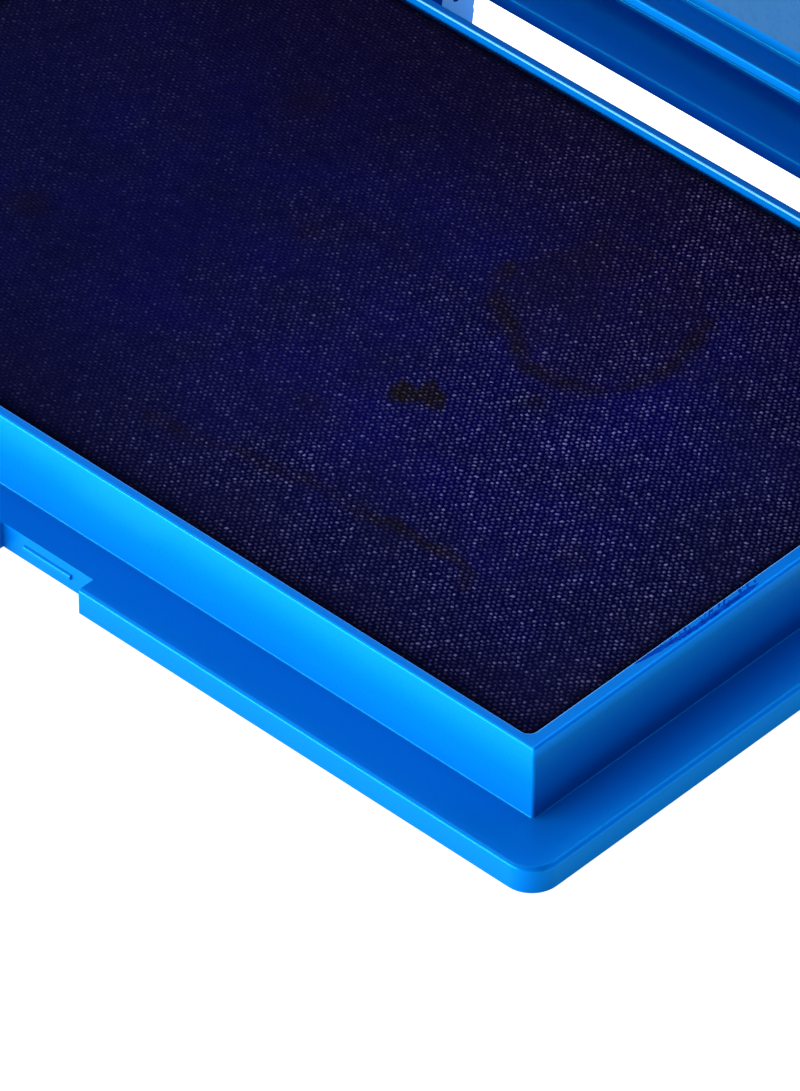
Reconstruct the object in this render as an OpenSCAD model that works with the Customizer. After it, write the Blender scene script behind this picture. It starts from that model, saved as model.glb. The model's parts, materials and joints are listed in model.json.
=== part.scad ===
// Hinged ink pad: a moulded tray with a raised wall holds an inked cloth pad,
// and a shallow lid closes over the wall onto the flange around it.
// X runs along the long sides, the front faces -Y and the lid opens at the back.
// The origin is the middle of the underside. Every size is in millimetres.

/* [Pad] */
// Length of the inked cloth inside the rim
pad_len = 110; // [80:1:160]
// Width of the inked cloth inside the rim
pad_wid = 70; // [50:1:110]
// How far the cloth lies below the rim
cloth_drop = 0.7; // [0.3:0.1:1.2]
// Thickness of the woven cloth
cloth_t = 0.35; // [0.2:0.05:0.5]
// Thickness of the stiff board under the felt
board_t = 1.2; // [0.8:0.1:2]
// Thickness of the dense felt that feeds the cloth
wick_t = 1.5; // [1:0.1:2]
// How far the cloth's edge is turned in under the board
hem_w = 6; // [4:0.5:10]
// Width of each strip of tape that holds the pad down
tape_w = 12; // [6:1:20]

/* [Tray] */
// Width of the rim along the front and back
rim_front = 1.05; // [0.9:0.05:2]
// Width of the rim at the two ends
rim_side = 1.45; // [0.9:0.05:2]
// Height of the raised wall above the flange
wall_h = 8.2; // [7:0.1:12]
// Thickness of the flange at its edge
flange_t = 2.9; // [2.6:0.1:4]
// Width of the flange along the front and back
flange_front = 5.65; // [5:0.05:8]
// Width of the flange at the two ends
flange_side = 5.35; // [5:0.05:8]
// Radius of the flange's corners, seen from above
flange_corner_r = 3; // [2.5:0.1:5]
// Rounding of the flange's upper edge
flange_edge_r = 0.45; // [0.2:0.05:0.8]
// Thickness of the plate between the underside pockets and the pad
plate_t = 1.6; // [1.2:0.1:2]
// Width of the ring and the ribs that the tray stands on
foot_w = 2.2; // [2:0.1:3]

/* [Lid] */
// Angle between the closed lid and the open lid
lid_open = 105; // [100:1:115]
// Thickness of the lid's top
lid_top_t = 1.6; // [1.4:0.1:2.5]
// Thickness of the lid's outer skirt
lid_skirt_t = 1.5; // [1.2:0.1:2]
// Gap between the rim and the lid's ceiling
lid_room = 1.5; // [1.2:0.1:3]
// Thickness of the sheet that seals the lid's ceiling
liner_t = 0.4; // [0.2:0.1:0.6]
// Height of the inner rib that fits round the raised wall
rib_h = 4; // [2:0.5:5]
// Rounding of the lid's upper edge
lid_edge_r = 1.2; // [0.5:0.1:1.5]

/* [Hinge] */
// Outer radius of the hinge knuckles
knuckle_r = 2.2; // [2:0.1:2.2]
// Radius of the steel hinge pins
pin_r = 0.75; // [0.5:0.05:0.9]
// Distance from the middle of the tray to each hinge
hinge_x = 36; // [24:1:44]
// Length of each lid knuckle
lid_knuckle_w = 8; // [6:0.5:12]
// Length of each tray knuckle
tray_knuckle_w = 4; // [3:0.5:6]

/* [Catch] */
// Width of the finger tab at the front of the lid
tab_w = 10; // [8:0.5:14]
// Depth of the notch in the flange behind the finger tab
notch_d = 1.9; // [1.7:0.1:2.5]

/* [Labels] */
// Length of the blank label on the lid
label_len = 86; // [50:1:90]
// Width of the blank label on the lid
label_wid = 48; // [30:1:50]
// Thickness of both labels
label_t = 0.2; // [0.1:0.05:0.25]

/* [Hidden] */
$fn = 64;
eps = 0.01;

// Radii of the raised wall's outer corners and of the well's corners
wall_corner_r = 0.3;
well_corner_r = 0.95;
// Gap between the pad and the wall round it
pad_gap = 0.1;
// Gap between the closed lid and the flange, and how far the lid stands inside the flange's outline
seat_gap = 0.2;
lid_inset = 0.1;
// Gap between the raised wall and the lid's inner rib, and the rib's thickness
rib_gap = 0.4;
rib_t = 1;
// Running clearance of the pins in the lid, seat clearance in the tray, and the gap beside a knuckle
run_clear = 0.05;
seat_clear = 0.01;
knuckle_gap = 0.2;
// How far each pin's ends sit inside the outer knuckles
pin_recess = 0.3;
// Depth of the panel that takes the label, and the margin round the label
label_recess = 0.3;
label_margin = 0.5;
// Catch: gap beside and behind the tab, its thickness, its lower end, and the beads and the finger lip on it
tab_gap = 0.8;
tab_clear = 0.65;
tab_t = 1.1;
tab_low = 0.7;
bead_r = 0.3;
lip_r = 0.7;
// How far the hinge's stop reaches behind the pin
stop_reach = 3;
blue = [0.01, 0.42, 0.86];

wall_len = pad_len + 2 * rim_side;
wall_wid = pad_wid + 2 * rim_front;
base_len = wall_len + 2 * flange_side;
base_wid = wall_wid + 2 * flange_front;
rim_z = flange_t + wall_h;
cloth_z = rim_z - cloth_drop;
board_z = flange_t + cloth_t;
reservoir_z = board_z + board_t;
wick_z = cloth_z - cloth_t - wick_t;
block_len = pad_len - 2 * pad_gap;
block_wid = pad_wid - 2 * pad_gap;
core_len = block_len - 2 * cloth_t;
core_wid = block_wid - 2 * cloth_t;
lid_len = base_len - 2 * lid_inset;
lid_wid = base_wid - 2 * lid_inset;
lid_corner_r = flange_corner_r - lid_inset;
lid_low = flange_t + seat_gap;
ceiling_z = rim_z + lid_room;
lid_top = ceiling_z + lid_top_t;
hinge_y = base_wid / 2 + knuckle_r;
hinge_z = flange_t + knuckle_r;
hinge_w = lid_knuckle_w + 2 * (tray_knuckle_w + knuckle_gap);
notch_w = tab_w + 2 * tab_gap;
pocket_len = base_len / 2 - 1.5 * foot_w;
pocket_wid = base_wid / 2 - 1.5 * foot_w;
bead_z = flange_t / 2 + 0.1;

// Rectangle with round corners, centred on the origin
module round_rect(length, width, radius) {
    square([length, width - 2 * radius], center = true);
    square([length - 2 * radius, width], center = true);
    for (x = [-1, 1], y = [-1, 1])
        translate([x * (length / 2 - radius), y * (width / 2 - radius)]) circle(r = radius);
}

// Slab with round corners between two heights
module slab(length, width, radius, low, high) {
    translate([0, 0, low]) linear_extrude(high - low) round_rect(length, width, radius);
}

// Carries a 2D profile once round a rectangle with round corners.
// The profile's x is measured outwards from the centres of the corners.
module around(length, width, radius) {
    straight = [length - 2 * radius, width - 2 * radius];
    for (side = [0 : 3]) {
        along = straight[side % 2];
        out = straight[(side + 1) % 2] / 2;
        rotate([0, 0, 90 * side - 90])
            translate([out, along / 2, 0]) rotate([90, 0, 0]) linear_extrude(along) children();
        rotate([0, 0, 90 * side - 90]) translate([out, along / 2, 0]) rotate_extrude(angle = 90) children();
    }
}

// Profile of a slab's border: as wide as the corner radius, with its upper outer edge rounded
module rounded_border(radius, edge_r, low, high) {
    translate([0, low]) square([radius, high - low - edge_r]);
    translate([0, low]) square([radius - edge_r, high - low]);
    translate([radius - edge_r, high - edge_r]) circle(r = edge_r);
}

// Slab whose upper outer edge is rounded
module soft_slab(length, width, radius, edge_r, low, high) {
    slab(length - 2 * edge_r, width - 2 * edge_r, radius - edge_r, low, high);
    slab(length, width, radius, low, high - edge_r);
    around(length, width, radius) rounded_border(radius, edge_r, low, high);
}

// Turns the lid from its closed place to its open one, about the hinge pins
module opened() {
    translate([0, hinge_y, hinge_z]) rotate([-lid_open, 0, 0]) translate([0, -hinge_y, -hinge_z]) children();
}

// Extrudes a profile drawn in Y and Z, over a width in X
module across(x, width) {
    translate([x - width / 2, 0, 0]) rotate([90, 0, 90]) linear_extrude(width) children();
}

// Profile of a tray knuckle. Its sloping upper edge is the stop that the open lid leans on.
module tray_knuckle_profile() {
    slope = lid_open - 90;
    difference() {
        union() {
            translate([hinge_y, hinge_z]) circle(r = knuckle_r);
            translate([base_wid / 2 - 1, 0]) square([knuckle_r + 1, flange_t]);
            translate([base_wid / 2, 0]) square([2 * knuckle_r, hinge_z]);
            translate([hinge_y, hinge_z]) rotate(-slope) translate([0, -knuckle_r])
                square([stop_reach, 2 * knuckle_r]);
        }
        translate([hinge_y, hinge_z]) circle(r = pin_r + seat_clear);
    }
}

// Profile of a lid knuckle, with the web that joins it to the closed lid's skirt
module lid_knuckle_profile() {
    difference() {
        union() {
            translate([hinge_y, hinge_z]) circle(r = knuckle_r);
            translate([hinge_y - knuckle_r - lid_inset - lid_skirt_t / 2, lid_low])
                square([knuckle_r + lid_inset + lid_skirt_t / 2, 2 * knuckle_r - seat_gap]);
        }
        translate([hinge_y, hinge_z]) circle(r = pin_r + run_clear);
    }
}

module base_tray() {
    color(blue) {
        difference() {
            union() {
                soft_slab(base_len, base_wid, flange_corner_r, flange_edge_r, 0, flange_t);
                slab(wall_len, wall_wid, wall_corner_r, flange_t - eps, rim_z);
            }
            slab(pad_len, pad_wid, well_corner_r, flange_t, rim_z + 1);
            // Four pockets under the plate leave a ring and two crossed ribs to stand on
            for (x = [-1, 1], y = [-1, 1])
                translate([x * (pocket_len + foot_w) / 2, y * (pocket_wid + foot_w) / 2, 0])
                    slab(pocket_len, pocket_wid, 1, -1, flange_t - plate_t);
            // Notch for the finger tab
            translate([0, -base_wid / 2, 0]) cube([notch_w, 2 * notch_d, 3 * flange_t], center = true);
        }
        // Wall between the notch and the pockets
        translate([-notch_w / 2 - foot_w, -base_wid / 2 + notch_d, 0])
            cube([notch_w + 2 * foot_w, foot_w, flange_t - plate_t / 2]);
        // Bead that the catch snaps under
        translate([-tab_w / 2 + 2, -base_wid / 2 + notch_d, bead_z]) rotate([0, 90, 0])
            cylinder(r = bead_r, h = tab_w - 4);
        for (side = [-1, 1], end = [-1, 1])
            across(side * hinge_x + end * (hinge_w - tray_knuckle_w) / 2, tray_knuckle_w)
                tray_knuckle_profile();
    }
}

module fixing_tape(side) {
    length = block_len - 2 * hem_w - 6;
    color([0.93, 0.92, 0.86])
        translate([-length / 2, side * core_wid / 5 - tape_w / 2, flange_t]) cube([length, tape_w, cloth_t]);
}

module backing_board() {
    color([0.62, 0.58, 0.5]) slab(core_len, core_wid, 0.5, board_z, reservoir_z);
}

module reservoir_felt() {
    color([0.08, 0.08, 0.3]) slab(core_len, core_wid, 0.5, reservoir_z, wick_z);
}

module wicking_felt() {
    color([0.05, 0.05, 0.22]) slab(core_len, core_wid, 0.5, wick_z, cloth_z - cloth_t);
}

// Cloth over the top and sides of the pad, turned in under the board
module ink_cloth() {
    color([0.06, 0.06, 0.26]) difference() {
        slab(block_len, block_wid, well_corner_r - pad_gap, flange_t, cloth_z);
        slab(core_len, core_wid, 0.5, board_z, cloth_z - cloth_t);
        slab(block_len - 2 * hem_w, block_wid - 2 * hem_w, 0.5, flange_t - 1, board_z + eps);
    }
}

module base_label() {
    color("white")
        translate([-(pocket_len + foot_w) / 2, (pocket_wid + foot_w) / 2, flange_t - plate_t - label_t])
            linear_extrude(label_t) round_rect(pocket_len - 16, pocket_wid - 12, 1);
}

module hinge_pin(side) {
    length = hinge_w - 2 * pin_recess;
    color("silver") translate([side * hinge_x - length / 2, hinge_y, hinge_z]) rotate([0, 90, 0])
        cylinder(r = pin_r, h = length);
}

// Finger tab in front of the notch, with the catch's bead inside and a lip outside
module finger_tab() {
    tab_y = -base_wid / 2 + notch_d - tab_clear - tab_t;
    across(0, tab_w) {
        translate([tab_y, tab_low + lip_r]) square([tab_t, lid_low + 1 - tab_low - lip_r]);
        translate([tab_y, tab_low + lip_r]) circle(r = lip_r);
        translate([tab_y, tab_low]) square([tab_t - bead_r, lip_r]);
        translate([tab_y + tab_t - bead_r, tab_low + bead_r]) circle(r = bead_r);
        translate([tab_y + tab_t - bead_r, tab_low + bead_r]) square([bead_r, lip_r]);
    }
}

module lid_shell() {
    inner_len = lid_len - 2 * lid_skirt_t;
    inner_wid = lid_wid - 2 * lid_skirt_t;
    rib_len = wall_len + 2 * rib_gap;
    rib_wid = wall_wid + 2 * rib_gap;
    color(blue) opened() {
        difference() {
            union() {
                difference() {
                    soft_slab(lid_len, lid_wid, lid_corner_r, lid_edge_r, lid_low, lid_top);
                    slab(inner_len, inner_wid, lid_corner_r - lid_skirt_t, lid_low - 1, ceiling_z);
                }
                // Inner rib that fits round the raised wall
                difference() {
                    slab(rib_len + 2 * rib_t, rib_wid + 2 * rib_t, 1.5, ceiling_z - rib_h, ceiling_z + eps);
                    slab(rib_len, rib_wid, 0.5, ceiling_z - rib_h - 1, ceiling_z);
                }
            }
            slab(label_len + 2 * label_margin, label_wid + 2 * label_margin, 2,
                lid_top - label_recess, lid_top + 1);
        }
        finger_tab();
        for (side = [-1, 1]) across(side * hinge_x, lid_knuckle_w) lid_knuckle_profile();
    }
}

module lid_liner() {
    color([0.85, 0.9, 0.94]) opened() slab(pad_len, pad_wid, 2, ceiling_z - liner_t, ceiling_z);
}

module lid_label() {
    color("white") opened()
        slab(label_len, label_wid, 1.5, lid_top - label_recess, lid_top - label_recess + label_t);
}

base_tray();
fixing_tape(-1);  // fixing_tape_left
fixing_tape(1);  // fixing_tape_right
backing_board();
reservoir_felt();
wicking_felt();
ink_cloth();
base_label();
hinge_pin(-1);  // hinge_pin_left
hinge_pin(1);  // hinge_pin_right
lid_shell();
lid_liner();
lid_label();
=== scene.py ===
"""Looks of the hinged ink pad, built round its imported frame.

Sizes are written in millimetres and turned into metres by MM. Places come from the frame's nodes and
its joint.
"""
import json
import math

import bmesh
import bpy
from mathutils import Matrix, Vector, noise


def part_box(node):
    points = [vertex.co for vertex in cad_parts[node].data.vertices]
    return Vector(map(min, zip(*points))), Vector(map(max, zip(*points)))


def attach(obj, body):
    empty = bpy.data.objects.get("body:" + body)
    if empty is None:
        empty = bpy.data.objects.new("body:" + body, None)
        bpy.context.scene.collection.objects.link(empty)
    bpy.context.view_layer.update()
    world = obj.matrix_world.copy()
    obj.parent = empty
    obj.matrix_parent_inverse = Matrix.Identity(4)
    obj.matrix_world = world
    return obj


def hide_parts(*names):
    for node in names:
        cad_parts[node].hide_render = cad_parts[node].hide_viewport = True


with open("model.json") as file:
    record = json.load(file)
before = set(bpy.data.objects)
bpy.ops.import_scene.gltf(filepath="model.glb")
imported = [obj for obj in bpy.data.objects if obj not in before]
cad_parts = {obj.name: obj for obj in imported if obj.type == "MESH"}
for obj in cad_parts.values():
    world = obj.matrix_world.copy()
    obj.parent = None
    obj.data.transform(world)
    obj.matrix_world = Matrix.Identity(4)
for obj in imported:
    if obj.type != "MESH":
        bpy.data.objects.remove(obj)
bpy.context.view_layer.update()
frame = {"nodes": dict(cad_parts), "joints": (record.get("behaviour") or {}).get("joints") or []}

MM = 0.001

# ---------------------------------------------------------------- the frame's places

tray_low, tray_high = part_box("base_tray")
cloth_low, cloth_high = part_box("ink_cloth")
wick_low, wick_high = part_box("wicking_felt")
reservoir_low, reservoir_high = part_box("reservoir_felt")
pin_low, pin_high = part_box("hinge_pin_right")
base_label_low, base_label_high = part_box("base_label")

hinge = frame["joints"][0]
hinge_point = Vector(hinge["pos_m"])
open_angle = math.radians(hinge["range_deg"][1])
to_open = (Matrix.Translation(hinge_point) @ Matrix.Rotation(-open_angle, 4, "X")
           @ Matrix.Translation(-hinge_point))
to_closed = to_open.inverted()


def closed_box(node):
    """Lowest and highest corner of one of the lid's nodes, when the lid is closed."""
    points = [to_closed @ v.co for v in frame["nodes"][node].data.vertices]
    return (Vector(min(p[i] for p in points) for i in range(3)),
            Vector(max(p[i] for p in points) for i in range(3)))


lid_closed_high = closed_box("lid_shell")[1]
liner_high = closed_box("lid_liner")[1]
label_low, label_high = closed_box("lid_label")

# ---------------------------------------------------------------- the moulding's sizes

FLANGE_CORNER = 3.0 * MM
WALL_CORNER = 0.3 * MM
WELL_CORNER = 0.95 * MM
PAD_GAP = 0.1 * MM
RIM_SIDE = 1.45 * MM
RIM_FRONT = 1.05 * MM
RIM_IN = 0.16 * MM
FLANGE_EDGE = 0.45 * MM
LID_SKIRT = 1.5 * MM
LID_EDGE = 1.2 * MM
LID_INSET = 0.1 * MM
SEAT_GAP = 0.2 * MM
RIB_GAP = 0.4 * MM
RIB_THICK = 1.0 * MM
RIB_HIGH = 4.0 * MM
FOOT = 2.2 * MM
POCKET_DEEP = 1.3 * MM
NOTCH_DEEP = 1.9 * MM
LABEL_MARGIN = 0.5 * MM
LABEL_RECESS = 0.3 * MM
LID_KNUCKLE = 8.0 * MM
TRAY_KNUCKLE = 4.0 * MM
KNUCKLE_GAP = 0.2 * MM
TAB_WIDE = 10.0 * MM
TAB_GAP = 0.8 * MM
CATCH_BEAD = 0.3 * MM

flange_x, flange_y = tray_high.x, -tray_low.y
flange_z = cloth_low.z
rim_z = tray_high.z
well_x, well_y = cloth_high.x + PAD_GAP, cloth_high.y + PAD_GAP
wall_x, wall_y = well_x + RIM_SIDE, well_y + RIM_FRONT
knuckle_r = hinge_point.y - flange_y
hinge_x = (pin_low.x + pin_high.x) / 2
pin_r = (pin_high.z - pin_low.z) / 2

FLANGE = (flange_x, flange_y, FLANGE_CORNER)
WALL = (wall_x, wall_y, WALL_CORNER)
WELL = (well_x, well_y, WELL_CORNER)

CORNER_STEPS = 10
EDGE_STEPS = 5
TOUCHING = 0.001 * MM


# ---------------------------------------------------------------- mesh tools

def outset(outline, distance, radius=None):
    """The outline moved outwards, with its corner radius kept in step unless one is given."""
    half_x, half_y, old_radius = outline
    return half_x + distance, half_y + distance, old_radius + distance if radius is None else radius


def ring(outline, inset, z, cells=(1, 1)):
    """Points round a rectangle with round corners, moved in by inset.

    cells says into how many pieces its long and its short sides are divided.
    """
    half_x, half_y, radius = outline
    radius = max(radius - inset, 0.02 * MM)
    reach_x = max(half_x - inset - radius, 0.0)
    reach_y = max(half_y - inset - radius, 0.0)
    points = []
    for corner, (sign_x, sign_y) in enumerate(((1, 1), (-1, 1), (-1, -1), (1, -1))):
        for step in range(CORNER_STEPS + 1):
            angle = math.radians(90 * (corner + step / CORNER_STEPS))
            points.append(Vector((sign_x * reach_x + radius * math.cos(angle),
                                  sign_y * reach_y + radius * math.sin(angle), z)))
        turn = math.radians(90 * (corner + 1))
        next_x, next_y = ((-1, 1), (-1, -1), (1, -1), (1, 1))[corner]
        start = points[-1].copy()
        end = Vector((next_x * reach_x + radius * math.cos(turn),
                      next_y * reach_y + radius * math.sin(turn), z))
        count = cells[corner % 2]
        points += [start.lerp(end, k / count) for k in range(1, count)]
    return points


def arc(outline, inset, z, radius, start, stop, steps=EDGE_STEPS):
    """Stations of a rounded edge: an outline, how far it is moved in, and its height.

    Angle 0 points out of the outline and 90 up. inset and z give the rounding's centre.
    """
    stations = []
    for k in range(steps + 1):
        angle = math.radians(start + (stop - start) * k / steps)
        stations.append((outline, inset - radius * math.cos(angle), z + radius * math.sin(angle)))
    return stations


def skin(name, stations, cells=(1, 1), caps=True):
    """A mesh object whose surface runs through one ring for each station, closed by a cap at either end."""
    bm = bmesh.new()
    rings = [[bm.verts.new(p) for p in ring(*station, cells)] for station in stations]
    for lower, upper in zip(rings, rings[1:]):
        for k in range(len(lower)):
            after = (k + 1) % len(lower)
            bm.faces.new((lower[k], lower[after], upper[after], upper[k]))
    if caps:
        bm.faces.new(reversed(rings[0]))
        bm.faces.new(rings[-1])
    return as_object(name, bm)


def as_object(name, bm):
    """Turns bmesh data into an object, with its normals outwards and no doubled points."""
    bmesh.ops.remove_doubles(bm, verts=bm.verts, dist=TOUCHING)
    bmesh.ops.recalc_face_normals(bm, faces=bm.faces)
    mesh = bpy.data.meshes.new(name)
    bm.to_mesh(mesh)
    bm.free()
    obj = bpy.data.objects.new(name, mesh)
    bpy.context.scene.collection.objects.link(obj)
    return obj


def prism(name, profile, x_low, x_high, soften=0.0):
    """A profile drawn in Y and Z, carried from x_low to x_high, with its end edges softened."""
    bm = bmesh.new()
    ends = [[bm.verts.new((x, y, z)) for y, z in profile] for x in (x_low, x_high)]
    for k in range(len(profile)):
        after = (k + 1) % len(profile)
        bm.faces.new((ends[0][k], ends[0][after], ends[1][after], ends[1][k]))
    caps = [bm.faces.new(reversed(ends[0])), bm.faces.new(ends[1])]
    if soften:
        edges = {e for cap in caps for e in cap.edges}
        bmesh.ops.bevel(bm, geom=list(edges), offset=soften, segments=2, profile=0.5, affect="EDGES")
    return as_object(name, bm)


def curve_points(centre_y, centre_z, radius, start, stop, steps=24):
    """Points of an arc in the YZ plane. Angle 0 points to +Y and 90 up."""
    return [(centre_y + radius * math.cos(math.radians(start + (stop - start) * k / steps)),
             centre_z + radius * math.sin(math.radians(start + (stop - start) * k / steps)))
            for k in range(steps + 1)]


def cylinder_x(name, y, z, radius, x_low, x_high, steps=48):
    """A cylinder along X."""
    return prism(name, curve_points(y, z, radius, 0, 360 - 360 / steps, steps - 1), x_low, x_high)


def block(name, low, high):
    """A box from its low to its high corner."""
    profile = [(low[1], low[2]), (high[1], low[2]), (high[1], high[2]), (low[1], high[2])]
    return prism(name, profile, low[0], high[0])


def combine(target, others, operation):
    """Joins others to target, or cuts them from it, and removes them."""
    for other in others:
        modifier = target.modifiers.new("combine", "BOOLEAN")
        modifier.operation = operation
        modifier.solver = "EXACT"
        modifier.object = other
    graph = bpy.context.evaluated_depsgraph_get()
    mesh = bpy.data.meshes.new_from_object(target.evaluated_get(graph))
    target.modifiers.clear()
    target.data = mesh
    for other in others:
        bpy.data.objects.remove(other)


def shade(obj, sharp_angle=32):
    """Smooth shading, with the edges above an angle left sharp and large flat faces kept flat."""
    bm = bmesh.new()
    bm.from_mesh(obj.data)
    bmesh.ops.remove_doubles(bm, verts=bm.verts, dist=TOUCHING / 2)
    bmesh.ops.dissolve_degenerate(bm, edges=bm.edges, dist=TOUCHING / 2)
    for face in bm.faces:
        face.smooth = True
    limit = math.radians(sharp_angle)
    for edge in bm.edges:
        edge.smooth = not (len(edge.link_faces) == 2 and edge.calc_face_angle(0) > limit)
    bm.to_mesh(obj.data)
    bm.free()
    weighted = obj.modifiers.new("flat_faces", "WEIGHTED_NORMAL")
    weighted.mode = "FACE_AREA"
    weighted.weight = 100
    weighted.keep_sharp = True


def dress(obj, material):
    """Gives an object its one material."""
    obj.data.materials.clear()
    obj.data.materials.append(material)


# ---------------------------------------------------------------- the looks' values

PLASTIC_DEEP = (0.0, 0.118, 0.48)
PLASTIC_BRIGHT = (0.0, 0.130, 0.52)
PLASTIC_SPECULAR = (0.0, 0.9, 1.0)
# Painted highlight in the plastic's colour: a pale line round the well's edge
PLASTIC_PAINTED_HIGHLIGHT = (0.20, 0.40, 0.85)
# Painted light in the plastic's colour: paler tops of the walls and edges of the short flanges
PLASTIC_PAINTED_LIGHT = (0.002, 0.27, 0.97)
# Width of the painted highlight line round the well
HIGHLIGHT_LINE_WIDE = 0.18 * MM
INK_DEEP = (0.0034, 0.0019, 0.019)
INK_BLUE = (0.0026, 0.0015, 0.052)
# Painted shade on the cloth next to the rim
INK_PAINTED_SHADE = (0.0006, 0.0005, 0.004)
# Painted glint on the threads' tops, in the base colour
INK_PAINTED_GLINT = (0.262, 0.137, 0.272)
STAIN_DEEP = (0.011, 0.004, 0.005)
# Painted glint on stained threads
STAIN_PAINTED_GLINT = (0.16, 0.075, 0.09)
WARP_PITCH = 0.313 * MM
WEFT_PITCH = 0.432 * MM
WEAVE_TURN = 3.0
WEAVE_RISE = 0.75
# Even level that the painted glints flatten to where their strength is low
FLAT_GLINT = 0.06
THREAD_SWAY = 1.4
THREAD_WRIGGLE = 0.9
WEAVE_DEEP = 0.05 * MM
FELT_DARK = (0.006, 0.006, 0.05)
FELT_LIGHT = (0.02, 0.025, 0.14)
CARD_DARK = (0.30, 0.26, 0.21)
CARD_LIGHT = (0.52, 0.47, 0.39)
CARD_INKED = (0.03, 0.04, 0.18)
TAPE_DARK = (0.62, 0.60, 0.52)
TAPE_LIGHT = (0.82, 0.80, 0.73)
PAPER_CLEAN = (0.70, 0.71, 0.71)
PAPER_GRIMY = (0.50, 0.52, 0.56)
PAPER_PRINT = (0.01, 0.08, 0.30)
FILM_CLEAR = (0.04, 0.10, 0.26)
FILM_MISTED = (0.008, 0.015, 0.10)
STEEL_CLEAN = (0.60, 0.60, 0.61)
STEEL_TARNISHED = (0.36, 0.33, 0.30)
SMEAR_THICK = (0.0, 0.014, 0.26)
SMEAR_THIN = (0.0, 0.055, 0.44)


# ---------------------------------------------------------------- materials

class Nodes:
    """Short names for a material's nodes."""

    def __init__(self, name):
        self.material = bpy.data.materials.new(name)
        self.material.use_nodes = True
        self.tree = self.material.node_tree
        self.surface = self.tree.nodes["Principled BSDF"]
        self.place = self.tree.nodes.new("ShaderNodeTexCoord").outputs["Object"]

    def put(self, node, socket, value):
        """Sets a node's input to a number, or links it to another node's output."""
        if value is None:
            return
        if isinstance(value, bpy.types.NodeSocket):
            self.tree.links.new(value, node.inputs[socket])
        else:
            node.inputs[socket].default_value = value

    def math(self, operation, a, b=None, c=None):
        """One math operation on up to three numbers or sockets."""
        node = self.tree.nodes.new("ShaderNodeMath")
        node.operation = operation
        for socket, value in enumerate((a, b, c)):
            self.put(node, socket, value)
        return node.outputs[0]

    def noise(self, scale, detail=3.0, roughness=0.5, vector=None):
        """Noise whose features are about scale long."""
        node = self.tree.nodes.new("ShaderNodeTexNoise")
        self.put(node, "Vector", self.place if vector is None else vector)
        node.inputs["Scale"].default_value = 1 / scale
        node.inputs["Detail"].default_value = detail
        node.inputs["Roughness"].default_value = roughness
        return node.outputs["Fac"]

    def stretch(self, scale=(1, 1, 1), rotation=0.0):
        """The object's place, scaled along each axis and turned about Z."""
        node = self.tree.nodes.new("ShaderNodeMapping")
        self.put(node, "Vector", self.place)
        node.inputs["Rotation"].default_value = (0, 0, rotation)
        node.inputs["Scale"].default_value = scale
        return node.outputs[0]

    def split(self, vector=None):
        """The X, Y and Z of a vector, or of the object's place."""
        node = self.tree.nodes.new("ShaderNodeSeparateXYZ")
        self.put(node, 0, self.place if vector is None else vector)
        return node.outputs

    def span(self, value, low, high, to_low=0.0, to_high=1.0, smooth=False):
        """Maps the span from low to high onto another span, and clamps it."""
        node = self.tree.nodes.new("ShaderNodeMapRange")
        node.interpolation_type = "SMOOTHSTEP" if smooth else "LINEAR"
        for socket, number in (("Value", value), ("From Min", low), ("From Max", high),
                               ("To Min", to_low), ("To Max", to_high)):
            self.put(node, socket, number)
        return node.outputs[0]

    def mix(self, share, first, second):
        """The first colour where share is 0, and the second where it is 1."""
        node = self.tree.nodes.new("ShaderNodeMix")
        node.data_type = "RGBA"
        self.put(node, 0, share)
        for socket, colour in ((6, first), (7, second)):
            self.put(node, socket, (*colour, 1) if isinstance(colour, tuple) else colour)
        return node.outputs[2]

    def bump(self, height, distance, under=None):
        """A normal tilted by height, which is distance high from 0 to 1, on top of the normal under it."""
        node = self.tree.nodes.new("ShaderNodeBump")
        node.inputs["Distance"].default_value = distance
        node.inputs["Strength"].default_value = 1.0
        self.put(node, "Height", height)
        self.put(node, "Normal", under)
        return node.outputs[0]

    def attribute(self, name):
        """A value that is painted on the mesh's points."""
        node = self.tree.nodes.new("ShaderNodeAttribute")
        node.attribute_name = name
        return node.outputs["Fac"]

    def away(self, value, middle=0.0):
        """How far a value is from middle, whichever way."""
        return self.math("ABSOLUTE", self.math("SUBTRACT", value, middle) if middle else value)

    def finish(self, **sockets):
        """Sets the surface shader's sockets, with spaces in their names written as underscores."""
        for name, value in sockets.items():
            value = (*value, 1) if isinstance(value, tuple) and len(value) == 3 else value
            self.put(self.surface, name.replace("_", " "), value)
        return self.material


def moulded_plastic():
    """Satin blue plastic: slow colour drift, faint mould waviness, fine grain and a few hairline scuffs.

    The tray also has a pale painted highlight where its rim meets the pad, and paler thin edges of painted
    light.
    """
    n = Nodes("moulded_plastic")
    drift = n.noise(28 * MM, 2)
    scuffs = n.noise(0.5 * MM, 2, vector=n.stretch((1, 14, 1), 0.7))
    grain = n.noise(0.09 * MM, 2)
    waves = n.noise(9 * MM, 1)
    colour = n.mix(n.span(drift, 0.3, 0.7), PLASTIC_DEEP, PLASTIC_BRIGHT)
    # Painted highlight: a pale line painted round the well's edge on the rim
    highlight_share = n.math("MULTIPLY", painted_highlight_line(n), n.span(drift, 0.25, 0.5, 0.75, 1.0))
    colour = n.mix(highlight_share, colour, PLASTIC_PAINTED_HIGHLIGHT)
    # Painted light: the thin tops of the walls and the edges of the short flanges are painted paler
    colour = n.mix(painted_edge_light(n), colour, PLASTIC_PAINTED_LIGHT)
    normal = n.bump(grain, 0.0004 * MM, under=n.bump(waves, 0.02 * MM))
    scuffed = n.math("MULTIPLY", n.span(scuffs, 0.66, 0.78), 0.02)
    roughness = n.math("ADD", n.span(grain, 0.3, 0.7, 0.27, 0.31), scuffed)
    return n.finish(Base_Color=colour, Roughness=roughness, Normal=normal, IOR=1.49,
                    Specular_Tint=PLASTIC_SPECULAR)


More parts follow.
